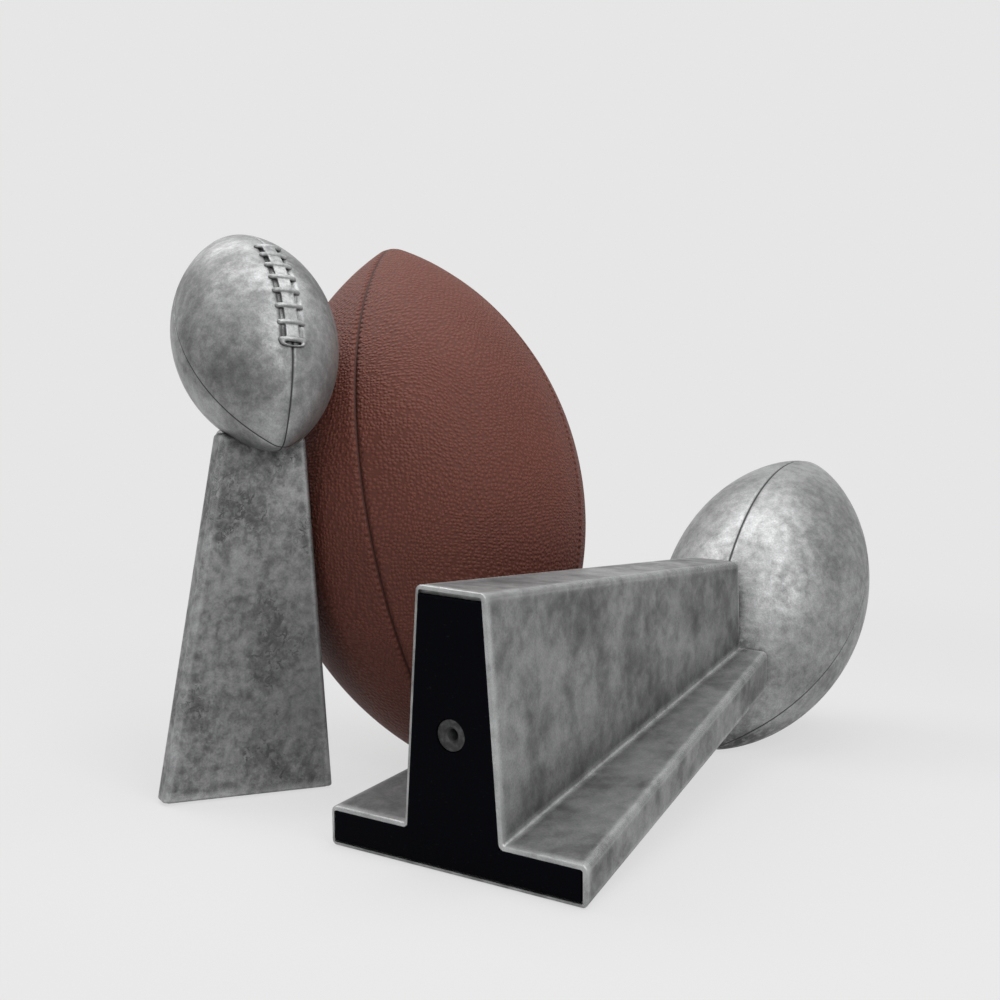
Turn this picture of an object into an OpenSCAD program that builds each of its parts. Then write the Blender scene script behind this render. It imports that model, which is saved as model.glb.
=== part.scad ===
// A set of two trophy style football stands and a leather football.
// Each stand is a cast pedestal with a T-shaped section: a broad front flange and a web behind it, both
// narrowing upwards. A cast football leans back on the top, held by a steel stud. A black pad with a
// threaded insert closes the foot. The large stand lies on its face, the small one stands up, and the
// leather football leans between them.

/* [Pedestal] */
// Width of the flange at the foot
foot_w = 126; // [110:1:140]
// Width of the flange at the top
top_w = 63; // [50:1:80]
// Height of the pedestal casting
pedestal_h = 255; // [235:5:275]
// Thickness of the flange at the foot
flange_foot_t = 17.5; // [14:0.5:22]
// Thickness of the flange at the top
flange_top_t = 22; // [16:0.5:26]
// How far the front face leans back at the top
face_lean = 10.8; // [6:0.2:16]
// Depth of the web behind the flange at the foot
web_foot_d = 102; // [88:1:112]
// Depth of the web behind the flange at the top
web_top_d = 47.5; // [40:0.5:56]
// Width of the web where it leaves the flange, at the foot
web_foot_root_w = 48.5; // [42:0.5:54]
// Width of the web where it leaves the flange, at the top
web_top_root_w = 31; // [27:0.5:36]
// Width of the web at its back edge, at the foot
web_foot_back_w = 34; // [28:0.5:40]
// Width of the web at its back edge, at the top
web_top_back_w = 28.5; // [24:0.5:34]
// Radius of the casting's edges
edge_r = 2.6; // [1.5:0.1:4]
// Small bevel round the underside of the casting
foot_bevel = 1; // [0.4:0.1:1.4]

/* [Trophy football] */
// Length of the cast football, tip to tip
cast_ball_l = 203; // [190:1:212]
// Diameter of the cast football
cast_ball_d = 120; // [112:1:128]
// Radius of its two tips
cast_tip_r = 13.5; // [9:0.5:18]
// Angle that it leans back from upright
cast_ball_tilt = 42; // [38:1:46]
// Distance of its centre behind the front edge of the foot
cast_ball_y = 43.5; // [40:0.5:48]
// Height of its centre above the top of the pedestal
cast_ball_rise = 69.5; // [66:0.5:73]
// Width of the groove along each seam
cast_seam_w = 1.4; // [0.8:0.1:2.4]
// Number of cross laces
lace_count = 8; // [5:1:9]
// Distance from one cross lace to the next
lace_pitch = 12.3; // [10:0.1:13]
// Length of a cross lace
lace_bar_l = 17; // [13:0.5:21]
// Thickness of a cross lace
lace_bar_d = 3.2; // [2.4:0.1:4]
// Width of the strip that runs under the cross laces
lace_strip_w = 7; // [5:0.5:9]
// Thickness of the bed of glue under the cast football
glue_t = 0.1; // [0.05:0.05:0.3]

/* [Small stand] */
// Size of the small stand's castings, as a share of the large ones
small_share = 0.657; // [0.62:0.001:0.7]

/* [Foot pad] */
// Thickness of the black pad
pad_t = 2.4; // [1.6:0.2:4]
// How far the pad stays inside the edge of the foot
pad_inset = 1.7; // [1:0.1:3]
// How far the pad stays inside the web's back edge
pad_back_inset = 2.8; // [1.5:0.1:4]

/* [Hardware] */
// Thread's inner diameter in the insert, 5 for an M6 thread
thread_d = 5; // [4:0.1:5.5]
// Length of the thread
thread_l = 16; // [12:1:22]
// Diameter of the insert's body
insert_d = 9; // [7.5:0.5:10]
// Length of the insert's body
insert_l = 20; // [16:1:28]
// Diameter of the insert's flange
insert_flange_d = 14; // [12:0.5:16]
// Thickness of the insert's flange
insert_flange_t = 1.6; // [1:0.1:2]
// Width of the bevel at the mouth of the thread
insert_mouth = 1.1; // [0.6:0.1:1.5]
// Distance of the insert behind the front edge, on the large stand
insert_y = 59; // [52:1:64]
// Diameter of the stud that holds the cast football
stud_d = 8; // [6:1:10]
// Depth of the stud below the top of the pedestal
stud_down = 32; // [25:1:40]
// Height of the stud above the top of the pedestal
stud_up = 30; // [22:1:36]
// Radial clearance of a hole round its hardware
hole_gap = 0.1; // [0.05:0.05:0.3]

/* [Leather football] */
// Length of the leather football, tip to tip
ball_l = 283; // [279:1:287]
// Diameter of the leather football
ball_d = 168; // [166:1:172]
// Radius of its two tips
ball_tip_r = 14; // [10:0.5:18]
// Thickness of the leather
leather_t = 3; // [2:0.2:4]
// Thickness of the lining sewn behind each panel
lining_t = 1; // [0.6:0.1:1.5]
// Thickness of the rubber bladder
bladder_t = 1.6; // [1:0.1:2.5]
// Gap between one layer of the football and the next
layer_gap = 0.1; // [0.05:0.05:0.3]
// Width of the valley along each sewn seam
seam_w = 3; // [2:0.2:4]
// Diameter of the valve's rubber head
valve_d = 7; // [5:0.5:9]
// Width of the valve's needle hole
needle_d = 1.2; // [0.8:0.1:1.6]
// Number of cross laces on the leather football
ball_lace_count = 8; // [6:1:8]
// Distance from one of them to the next
ball_lace_pitch = 14; // [12:0.5:16]
// Length of a cross lace on the leather football
ball_lace_bar_l = 26; // [20:1:32]
// Thickness of the lace
ball_lace_t = 3.2; // [2.4:0.2:4]

/* [Arrangement] */
// Turn of the small stand, its face to the left
small_yaw = 32.2; // [28:0.1:36]
// Turn of the large stand, its foot to the left
large_yaw = 29.4; // [27:0.1:32]
// Lean of the leather football to the left
ball_lean = 12.8; // [11:0.1:14]
// Lean of the leather football to the back
ball_back = 12.2; // [10:0.1:14]
// Turn of the leather football about its own length
ball_spin = 14; // [8:0.1:20]
// Direction from the leather football to the small stand's cast football
small_turn = 221.55; // [216:0.05:226]
// Air between those two footballs
lean_gap = 0.55; // [0.3:0.05:2]
// Direction from the leather football to the large stand's foot
large_turn = -78.66; // [-84:0.01:-74]
// Distance from the leather football's side to the large stand's foot
large_away = 108.53; // [106:0.01:125]

/* [Hidden] */
$fn = 64;
edge_fn = 24;
// Angle by which a seam's groove stops short of the tip
seam_stop = 1.5;
overcut = 1;

// Place of the leather football on the floor, with the origin under the middle of the set
ball_x = -67.75;
ball_y = 29.6;

// Turns of the seams about a football's length
SEAMS = [0, 90, 180, 270];
panel_turn = 90;

// ---- the outline of a football: a long arc on each side, closed by a small round tip at each end

// Radius of the long arc
function arc_r(l, d, tip) = (pow(l / 2 - tip, 2) + pow(d / 2, 2) - pow(tip, 2)) / (2 * (d / 2 - tip));
// Distance of the arc's centre beyond the axis
function arc_x(l, d, tip) = arc_r(l, d, tip) - d / 2;
// Angle at which the arc meets the tip
function arc_end(l, d, tip) = asin((l / 2 - tip) / (arc_r(l, d, tip) - tip));
// Radius at a height along the axis, inside the long arc
function radius_at(l, d, tip, z) = sqrt(pow(arc_r(l, d, tip), 2) - z * z) - arc_x(l, d, tip);

// Half outline, right of the axis, moved outwards by grow
module football_half(l, d, tip, grow = 0) {
    r = arc_r(l, d, tip);
    meet = (r + grow) * sin(arc_end(l, d, tip));
    intersection() {
        translate([-arc_x(l, d, tip), 0]) circle(r + grow);
        translate([0, -meet]) square([d / 2 + grow, 2 * meet]);
    }
    // a tip's circle lies inside the long arc and touches it where they meet
    for (side = [-1, 1])
        intersection() {
            translate([0, side * (l / 2 - tip)]) circle(tip + grow);
            translate([0, side * (l / 2 - tip) - tip - grow]) square([tip + grow, 2 * (tip + grow)]);
        }
}

module football_solid(l, d, tip, grow = 0) {
    rotate_extrude() football_half(l, d, tip, grow);
}

// A ring of round section along one seam, in the half plane right of the axis. It fades out at the tips
module seam_ring(l, d, tip, w) {
    half = arc_end(l, d, tip) - seam_stop;
    translate([-arc_x(l, d, tip), 0, 0])
        rotate([90, 0, 0]) rotate([0, 0, -half]) rotate_extrude(angle = 2 * half)
            translate([arc_r(l, d, tip), 0]) circle(d = w);
}

// ---- a stand, built upright with its front edge on y = 0 and the pad's underside on z = 0

// Centre of the cast football above the floor
function cast_ball_z(k) = pad_t + k * (pedestal_h + cast_ball_rise);

module place_cast_ball(k) {
    translate([0, k * cast_ball_y, cast_ball_z(k)]) rotate([-cast_ball_tilt, 0, 0]) scale(k) children();
}

// One tapering slab with rounded edges. foot and top each give two corners, one in front of the other,
// as [half width, y], and grow moves the whole surface outwards
module slab(k, foot, top, grow = 0) {
    r = edge_r;
    hull()
        for (side = [-1, 1], row = [0, 1]) {
            inwards = row == 0 ? r : -r;
            translate([side * (foot[row][0] - r), foot[row][1] + inwards, pad_t])
                cylinder(h = foot_bevel, r1 = r + grow - foot_bevel, r2 = r + grow, $fn = edge_fn);
            translate([side * (top[row][0] - r), top[row][1] + inwards, pad_t + k * pedestal_h - r])
                sphere(r + grow, $fn = edge_fn);
        }
}

module flange(k, grow = 0) {
    slab(k,
        k * [[foot_w / 2, 0], [foot_w / 2, flange_foot_t]],
        k * [[top_w / 2, face_lean], [top_w / 2, face_lean + flange_top_t]],
        grow);
}

// The web starts a little inside the flange
module web(k, grow = 0) {
    sunk = 2 * edge_r / k;
    slab(k,
        k * [[web_foot_root_w / 2, flange_foot_t - sunk],
             [web_foot_back_w / 2, flange_foot_t + web_foot_d]],
        k * [[web_top_root_w / 2, face_lean + flange_top_t - sunk],
             [web_top_back_w / 2, face_lean + flange_top_t + web_top_d]],
        grow);
}

// Distance of the stud behind the front edge: the middle of the flange's top
function stud_y(k) = k * (face_lean + flange_top_t / 2);

module pedestal(k) {
    difference() {
        union() {
            flange(k);
            web(k);
        }
        // hole for the stud
        translate([0, stud_y(k), pad_t + k * (pedestal_h - stud_down) - hole_gap])
            cylinder(h = k * (stud_down + stud_up), d = stud_d + 2 * hole_gap);
        // hole for the insert
        translate([0, k * insert_y, pad_t - overcut])
            cylinder(h = overcut + insert_l + hole_gap, d = insert_d + 2 * hole_gap);
    }
}

// Cast laces: a strip along the seam with rounded bars across it
module cast_laces() {
    r = arc_r(cast_ball_l, cast_ball_d, cast_tip_r);
    span = (lace_count - 1) * lace_pitch;
    // the strip follows the long arc
    half = asin((span / 2 + lace_pitch / 2) / r);
    rotate([0, 0, 90]) translate([-arc_x(cast_ball_l, cast_ball_d, cast_tip_r), 0, 0])
        rotate([90, 0, 0]) rotate([0, 0, -half]) rotate_extrude(angle = 2 * half)
            translate([r - lace_bar_d / 2, -lace_strip_w / 2]) square([lace_bar_d * 0.75, lace_strip_w]);
    for (i = [0 : lace_count - 1]) {
        z = i * lace_pitch - span / 2;
        y = radius_at(cast_ball_l, cast_ball_d, cast_tip_r, z);
        translate([0, y, z]) for (side = [-1, 1])
            rotate([0, side * 90, 0]) {
                cylinder(h = lace_bar_l / 2 - lace_bar_d / 2, d = lace_bar_d, $fn = edge_fn);
                translate([0, 0, lace_bar_l / 2 - lace_bar_d / 2]) sphere(d = lace_bar_d, $fn = edge_fn);
            }
    }
}

// The laces face forwards and up, so the ball is turned to bring them there. Its underside has a pocket
// that the top of the pedestal fits into
module trophy_ball(k) {
    difference() {
        place_cast_ball(k) rotate([0, 0, 180]) {
            difference() {
                football_solid(cast_ball_l, cast_ball_d, cast_tip_r);
                for (turn = SEAMS)
                    rotate([0, 0, turn]) seam_ring(cast_ball_l, cast_ball_d, cast_tip_r, cast_seam_w);
            }
            cast_laces();
        }
        flange(k, glue_t);
        web(k, glue_t);
        translate([0, stud_y(k), pad_t + k * (pedestal_h - stud_down)])
            cylinder(h = k * (stud_down + stud_up) + hole_gap, d = stud_d + 2 * hole_gap);
    }
}

module ball_stud(k) {
    translate([0, stud_y(k), pad_t + k * (pedestal_h - stud_down)])
        cylinder(h = k * (stud_down + stud_up), d = stud_d);
}

module foot_pad(k) {
    root = k * web_foot_root_w / 2 - pad_inset;
    back = k * web_foot_back_w / 2 - pad_inset;
    front_y = pad_inset + foot_bevel;
    flange_y = k * flange_foot_t - pad_inset;
    back_y = k * (flange_foot_t + web_foot_d) - pad_back_inset - foot_bevel;
    side = k * foot_w / 2 - pad_inset - foot_bevel;
    difference() {
        linear_extrude(pad_t)
            polygon([[-side, front_y], [side, front_y], [side, flange_y], [root, flange_y],
                     [back, back_y], [-back, back_y], [-root, flange_y], [-side, flange_y]]);
        translate([0, k * insert_y, -overcut])
            cylinder(h = pad_t + 2 * overcut, d = insert_flange_d + 2 * hole_gap);
    }
}

module threaded_insert(k) {
    flange_z = pad_t - insert_flange_t;
    translate([0, k * insert_y, 0])
        difference() {
            union() {
                translate([0, 0, flange_z]) cylinder(h = insert_flange_t, d = insert_flange_d);
                translate([0, 0, pad_t - overcut / 2]) cylinder(h = insert_l + overcut / 2, d = insert_d);
            }
            translate([0, 0, flange_z - overcut]) cylinder(h = thread_l + overcut, d = thread_d);
            translate([0, 0, flange_z]) cylinder(h = insert_mouth, r1 = thread_d / 2 + insert_mouth, r2 = thread_d / 2);
        }
}

// ---- places of the three things on the floor

// Tilt at which the lying stand touches the floor with its foot's edge and with its football
lie_edge = pad_t + foot_bevel;
lie_reach = arc_x(cast_ball_l, cast_ball_d, cast_tip_r);
lie_p = cast_ball_y + lie_reach * cos(cast_ball_tilt);
lie_q = cast_ball_z(1) - lie_reach * sin(cast_ball_tilt) - lie_edge;
lie_tilt = atan2(lie_q, lie_p) - acos(arc_r(cast_ball_l, cast_ball_d, cast_tip_r) / norm([lie_p, lie_q]));

// The foot keeps clear of the leather football's side
large_x = ball_x + (ball_d / 2 + large_away) * cos(large_turn);
large_y = ball_y + (ball_d / 2 + large_away) * sin(large_turn);

module place_large() {
    translate([large_x, large_y, -lie_edge * sin(lie_tilt)])
        rotate([0, 0, -large_yaw]) rotate([lie_tilt, 0, 0]) rotate([90, 0, 180]) children();
}

// The leather football stands on its lower tip
ball_z = ball_tip_r + (ball_l / 2 - ball_tip_r) * cos(ball_lean) * cos(ball_back);

// How far a football reaches from its centre in a direction, from the direction's share along its axis
function reach(l, d, tip, along) =
    abs(along) < sin(arc_end(l, d, tip))
        ? arc_r(l, d, tip) - arc_x(l, d, tip) * sqrt(1 - along * along)
        : tip + (l / 2 - tip) * abs(along);

// Axes of the leather football and of the small stand's cast football
ball_axis = [-sin(ball_lean) * cos(ball_back), sin(ball_back), cos(ball_lean) * cos(ball_back)];
cast_axis = [-sin(cast_ball_tilt) * sin(small_yaw), sin(cast_ball_tilt) * cos(small_yaw), cos(cast_ball_tilt)];

// Distance in plan between the two centres at which a plane that faces along n just parts the two
function parted_by(n) =
    (lean_gap + reach(ball_l, ball_d, ball_tip_r, n * ball_axis)
        + small_share * reach(cast_ball_l, cast_ball_d, cast_tip_r, n * cast_axis)
        - n[2] * (cast_ball_z(small_share) - ball_z))
    / (n * [cos(small_turn), sin(small_turn), 0]);

// The small stand comes up until its cast football almost touches: the nearest of all parting planes
lean_far = min([for (side = [-40 : 2 : 40], up = [-50 : 2 : 50])
    parted_by([cos(up) * cos(small_turn + side), cos(up) * sin(small_turn + side), sin(up)])]);
small_x = ball_x + lean_far * cos(small_turn) + small_share * cast_ball_y * sin(small_yaw);
small_y = ball_y + lean_far * sin(small_turn) - small_share * cast_ball_y * cos(small_yaw);

module place_small() {
    translate([small_x, small_y, 0]) rotate([0, 0, small_yaw]) children();
}

module place_football() {
    translate([ball_x, ball_y, ball_z]) rotate([-ball_back, -ball_lean, 0]) rotate([0, 0, -ball_spin]) children();
}

// ---- the leather football, built upright about its own centre

// One quarter of a layer of the football, between two depths below the surface
module quarter(outer, inner, turn = panel_turn) {
    rotate_extrude(angle = turn)
        difference() {
            football_half(ball_l, ball_d, ball_tip_r, -outer);
            football_half(ball_l, ball_d, ball_tip_r, -inner);
        }
}

module place_valve() {
    valve_turn = panel_turn * 1.5;
    rotate([0, 0, valve_turn]) translate([ball_d / 2, 0, 0]) rotate([0, 90, 0]) children();
}

valve_inside = leather_t + lining_t + bladder_t + 2 * layer_gap;

module football_panel(i) {
    difference() {
        rotate([0, 0, i * panel_turn]) difference() {
            quarter(0, leather_t);
            for (turn = [0, panel_turn])
                rotate([0, 0, turn]) seam_ring(ball_l, ball_d, ball_tip_r, seam_w);
        }
        if (i == 1)
            place_valve() cylinder(h = 3 * leather_t, d = valve_d + 2 * layer_gap, center = true);
    }
}

module football_lining(i) {
    outer = leather_t + layer_gap;
    // each lining stops short of the next by one gap at the ball's waist
    gap_turn = 2 * asin(layer_gap / ball_d);
    difference() {
        rotate([0, 0, i * panel_turn]) quarter(outer, outer + lining_t, panel_turn - gap_turn);
        if (i == 1)
            place_valve() cylinder(h = 3 * valve_inside, d = valve_d + 2 * layer_gap, center = true);
    }
}

module football_bladder() {
    outer = leather_t + lining_t + 2 * layer_gap;
    difference() {
        football_solid(ball_l, ball_d, ball_tip_r, -outer);
        football_solid(ball_l, ball_d, ball_tip_r, -outer - bladder_t);
        place_valve() cylinder(h = 3 * valve_inside, d = valve_d + 2 * layer_gap, center = true);
    }
}

// A rubber plug through leather, lining and bladder, with a blind needle hole
module football_valve() {
    place_valve() difference() {
        translate([0, 0, -valve_inside - bladder_t]) cylinder(h = valve_inside + bladder_t - layer_gap, d = valve_d);
        translate([0, 0, -valve_inside]) cylinder(h = valve_inside + overcut, d = needle_d);
    }
}

module football_lace() {
    r = arc_r(ball_l, ball_d, ball_tip_r);
    span = (ball_lace_count - 1) * ball_lace_pitch;
    half = asin((span / 2 + ball_lace_t) / r);
    lift = ball_lace_t / 2 + layer_gap;
    // the lace's long run over the seam
    rotate([0, 0, 90]) translate([-arc_x(ball_l, ball_d, ball_tip_r), 0, 0])
        rotate([90, 0, 0]) rotate([0, 0, -half]) rotate_extrude(angle = 2 * half)
            translate([r + lift, 0]) circle(d = ball_lace_t, $fn = edge_fn);
    for (i = [0 : ball_lace_count - 1]) {
        z = i * ball_lace_pitch - span / 2;
        wrap = radius_at(ball_l, ball_d, ball_tip_r, z) + lift;
        turn = asin(ball_lace_bar_l / 2 / wrap);
        translate([0, 0, z]) rotate([0, 0, 90 - turn]) rotate_extrude(angle = 2 * turn)
            translate([wrap, 0]) circle(d = ball_lace_t, $fn = edge_fn);
    }
}

module silver() { color([0.56, 0.57, 0.57]) children(); }
module black() { color([0.05, 0.05, 0.06]) children(); }
module steel() { color([0.35, 0.35, 0.36]) children(); }
module leather() { color([0.42, 0.24, 0.20]) children(); }
module fabric() { color("tan") children(); }

module large_pedestal() silver() place_large() pedestal(1);
module large_trophy_ball() silver() place_large() trophy_ball(1);
module large_foot_pad() black() place_large() foot_pad(1);
module large_threaded_insert() steel() place_large() threaded_insert(1);
module large_ball_stud() steel() place_large() ball_stud(1);

module small_pedestal() silver() place_small() pedestal(small_share);
module small_trophy_ball() silver() place_small() trophy_ball(small_share);
module small_foot_pad() black() place_small() foot_pad(small_share);
module small_threaded_insert() steel() place_small() threaded_insert(small_share);
module small_ball_stud() steel() place_small() ball_stud(small_share);

large_pedestal();
large_trophy_ball();
large_foot_pad();
large_threaded_insert();
large_ball_stud();
small_pedestal();
small_trophy_ball();
small_foot_pad();
small_threaded_insert();
small_ball_stud();
leather() place_football() football_panel(0);  // football_panel_1
leather() place_football() football_panel(1);  // football_panel_2
leather() place_football() football_panel(2);  // football_panel_3
leather() place_football() football_panel(3);  // football_panel_4
fabric() place_football() football_lining(0);  // football_lining_1
fabric() place_football() football_lining(1);  // football_lining_2
fabric() place_football() football_lining(2);  // football_lining_3
fabric() place_football() football_lining(3);  // football_lining_4
color("dimgray") place_football() football_bladder();
color("ivory") place_football() football_lace();
black() place_football() football_valve();
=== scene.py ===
"""A set of two silver trophy style football stands with a leather football leaning between them."""

from math import acos, asin, atan2, cos, degrees, exp, hypot, pi, radians, sin, sqrt

import bpy
from mathutils import Matrix, Vector


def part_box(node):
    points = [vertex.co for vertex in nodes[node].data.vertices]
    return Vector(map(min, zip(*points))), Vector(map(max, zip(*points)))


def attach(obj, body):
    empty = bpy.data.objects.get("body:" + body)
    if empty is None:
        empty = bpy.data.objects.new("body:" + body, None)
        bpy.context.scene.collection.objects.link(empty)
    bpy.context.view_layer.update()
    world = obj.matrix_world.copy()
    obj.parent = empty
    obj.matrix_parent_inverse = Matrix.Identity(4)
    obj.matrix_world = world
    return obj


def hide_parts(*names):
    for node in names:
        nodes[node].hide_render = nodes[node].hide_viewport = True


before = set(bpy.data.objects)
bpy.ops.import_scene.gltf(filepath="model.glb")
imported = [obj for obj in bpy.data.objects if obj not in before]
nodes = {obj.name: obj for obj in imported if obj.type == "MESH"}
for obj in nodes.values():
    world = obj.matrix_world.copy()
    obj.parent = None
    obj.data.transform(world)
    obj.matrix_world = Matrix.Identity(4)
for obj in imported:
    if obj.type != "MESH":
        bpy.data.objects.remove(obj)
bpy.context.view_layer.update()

# ---- sizes of the set in millimetres and degrees
# The large forms have the source's sizes. The cast laces are fuller here, and the insert's body a little
# thinner. Only this scene has the rim round the pad, the thread's ridges, the pits beside the laces and the
# small ball's turn.

FOOT_W, TOP_W, PEDESTAL_H = 126.0, 63.0, 255.0
FLANGE_FOOT_T, FLANGE_TOP_T, FACE_LEAN = 17.5, 22.0, 10.8
WEB_FOOT_D, WEB_TOP_D = 102.0, 47.5
WEB_FOOT_ROOT_W, WEB_TOP_ROOT_W = 48.5, 31.0
WEB_FOOT_BACK_W, WEB_TOP_BACK_W = 34.0, 28.5
EDGE_R, FOOT_BEVEL = 2.6, 1.0
PAD_T, PAD_INSET, PAD_BACK_INSET = 2.4, 1.7, 2.8
RIM_H, RIM_W = 1.6, 1.35
# the inner corners beside the web have this share of the outer edges' radius
JUNCTION_SHARE = 0.4
TOP_EDGE_SHARE = 0.92
PAD_EDGE = 0.45
# leans the foot's front edge back a little more than the lying stand leans, so that it clears the floor
FRONT_SLOPE = 0.12
CAST_BALL_L, CAST_BALL_D, CAST_TIP_R = 203.0, 120.0, 13.5
CAST_BALL_TILT, CAST_BALL_Y, CAST_BALL_RISE = 42.0, 43.5, 69.5
LACE_COUNT, LACE_PITCH, LACE_BAR_L, LACE_BAR_D, LACE_STRIP_W = 8, 13.3, 21.0, 3.9, 10.0
LACE_ARCH, LACE_STRIP_T, LACE_STRIP_SUNK = 1.0, 3.0, 0.35
LACE_LOOP_R, LACE_LOOP_WIRE_R, LACE_LOOP_FLAT = 7.7, 1.9, 0.34
PIT_DEPTH, PIT_W, PIT_AWAY = 2.6, 1.5, 1.3
INSERT_Y, INSERT_FLANGE_D, INSERT_FLANGE_T, INSERT_BODY_R = 59.0, 14.0, 1.6, 4.45
THREAD_D, THREAD_L, THREAD_PITCH, THREAD_DEPTH = 5.0, 16.0, 1.0, 0.45
# how far the insert's closed end reaches past its thread, and the bevel at its mouth
INSERT_END, INSERT_MOUTH = 2.0, 1.1
SMALL_SHARE, SMALL_BALL_TURN = 0.657, 3.8
BALL_L, BALL_D, BALL_TIP_R, LEATHER_T, VALVE_D = 283.0, 168.0, 14.0, 3.0, 7.0
BALL_LACE_COUNT, BALL_LACE_PITCH, BALL_LACE_BAR_L, BALL_LACE_T, BALL_LACE_W = 8, 14.0, 26.0, 3.2, 4.6
BALL_LACE_ENDS_SUNK = 1.9
# what the leather leaves free for the lining behind it
LINING_ROOM = 0.2
LARGE_YAW, LARGE_TURN, LARGE_AWAY = 29.4, -78.66, 108.53
SMALL_YAW = 32.2
BALL_X, BALL_Y, BALL_LEAN, BALL_BACK, BALL_SPIN = -67.75, 29.6, 12.8, 12.2, 14.0
HOLE_GAP = 0.1
# how near a point has to be, and how squarely a face has to look, to be picked
NEAR, SQUARELY = 0.1, 0.9


# ---- the outline of a football: a long arc closed by a small round tip at each end

def arc_radius(length, width, tip):
    return ((length / 2 - tip) ** 2 + (width / 2) ** 2 - tip ** 2) / (2 * (width / 2 - tip))


def outline_run(length, width, tip):
    """Length along the outline of the long arc and of one tip."""
    r = arc_radius(length, width, tip)
    meet = asin((length / 2 - tip) / (r - tip))
    return r * 2 * meet, tip * (pi / 2 - meet)


def outline_point(length, width, tip, share):
    """Radius and height on the outline, share 0 at the lower tip and 1 at the upper one."""
    r = arc_radius(length, width, tip)
    beyond = r - width / 2
    meet = asin((length / 2 - tip) / (r - tip))
    long_run, tip_run = outline_run(length, width, tip)
    run = share * (long_run + 2 * tip_run)
    if run < tip_run:
        a = -pi / 2 + run / tip
        return max(tip * cos(a), 0.0), -(length / 2 - tip) + tip * sin(a)
    if run > tip_run + long_run:
        a = meet + (run - tip_run - long_run) / tip
        return max(tip * cos(a), 0.0), length / 2 - tip + tip * sin(a)
    a = -meet + (run - tip_run) / r
    return r * cos(a) - beyond, r * sin(a)


def radius_at(length, width, tip, z):
    r = arc_radius(length, width, tip)
    return sqrt(r * r - z * z) - (r - width / 2)


# ---- places of the three things on the floor

def turn(axis, angle):
    return Matrix.Rotation(radians(angle), 4, axis)


def cast_ball_place(k):
    up = PAD_T + k * (PEDESTAL_H + CAST_BALL_RISE)
    lean = turn("X", -CAST_BALL_TILT)
    return Matrix.Translation((0, k * CAST_BALL_Y, up)) @ lean @ Matrix.Scale(k, 4) @ turn("Z", 180)


def large_place():
    """The large stand lies on its foot's edge and on its ball."""
    edge = PAD_T + FOOT_BEVEL
    r = arc_radius(CAST_BALL_L, CAST_BALL_D, CAST_TIP_R)
    reach = r - CAST_BALL_D / 2
    tilt = radians(CAST_BALL_TILT)
    p = CAST_BALL_Y + reach * cos(tilt)
    q = PAD_T + PEDESTAL_H + CAST_BALL_RISE - reach * sin(tilt) - edge
    lie = atan2(q, p) - acos(r / hypot(p, q))
    away = BALL_D / 2 + LARGE_AWAY
    x = BALL_X + away * cos(radians(LARGE_TURN))
    y = BALL_Y + away * sin(radians(LARGE_TURN))
    return (Matrix.Translation((x, y, -edge * sin(lie))) @ turn("Z", -LARGE_YAW)
            @ turn("X", degrees(lie)) @ turn("Z", 180) @ turn("X", 90))


def small_place():
    """The small stand stands where the frame has it, found from its insert."""
    low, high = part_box("small_threaded_insert")
    middle = [(low[i] + high[i]) / 2 * 1000 for i in range(2)]
    return (Matrix.Translation((*middle, 0)) @ turn("Z", SMALL_YAW)
            @ Matrix.Translation((0, -SMALL_SHARE * INSERT_Y, 0)))


def football_place():
    """The leather football stands on its lower tip, leaning left and back."""
    up = BALL_TIP_R + (BALL_L / 2 - BALL_TIP_R) * cos(radians(BALL_LEAN)) * cos(radians(BALL_BACK))
    return (Matrix.Translation((BALL_X, BALL_Y, up)) @ turn("Y", -BALL_LEAN) @ turn("X", -BALL_BACK)
            @ turn("Z", -BALL_SPIN))


STANDS = {"large": (large_place(), 1.0), "small": (small_place(), SMALL_SHARE)}
MILLIMETRES = Matrix.Scale(0.001, 4)


# ---- helpers for modelling by hand

def deselect():
    if bpy.context.mode != "OBJECT":
        bpy.ops.object.mode_set(mode="OBJECT")
    bpy.ops.object.select_all(action="DESELECT")


def only(piece):
    deselect()
    piece.select_set(True)
    bpy.context.view_layer.objects.active = piece


def started(name):
    """The primitive just added, named and with its turn and size in its mesh."""
    piece = bpy.context.active_object
    piece.name = piece.data.name = name
    bpy.ops.object.transform_apply(location=True, rotation=True, scale=True)
    return piece


def move_mesh(piece, place):
    only(piece)
    piece.matrix_world = place
    bpy.ops.object.transform_apply(location=True, rotation=True, scale=True)


def add_modifier(piece, name, kind, **settings):
    modifier = piece.modifiers.new(name, kind)
    for key, value in settings.items():
        setattr(modifier, key, value)
    only(piece)
    bpy.ops.object.modifier_apply(modifier=modifier.name)


def join(name, pieces):
    deselect()
    for piece in pieces:
        piece.select_set(True)
    bpy.context.view_layer.objects.active = pieces[0]
    bpy.ops.object.join()
    pieces[0].name = pieces[0].data.name = name
    return pieces[0]


def copied(piece, name):
    copy = piece.copy()
    copy.data = piece.data.copy()
    copy.name = copy.data.name = name
    bpy.context.scene.collection.objects.link(copy)
    return copy


def pick(piece, kind, test):
    """Selects the edges or faces that pass a test, and leaves the piece in edit mode."""
    only(piece)
    bpy.ops.object.mode_set(mode="EDIT")
    bpy.ops.mesh.select_mode(type=kind)
    bpy.ops.mesh.select_all(action="DESELECT")
    bpy.ops.object.mode_set(mode="OBJECT")
    mesh = piece.data
    if kind == "EDGE":
        for e in mesh.edges:
            a, b = (mesh.vertices[i].co for i in e.vertices)
            e.select = test(a, b)
    else:
        for f in mesh.polygons:
            f.select = test(f.center, f.normal)
    bpy.ops.object.mode_set(mode="EDIT")


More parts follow.
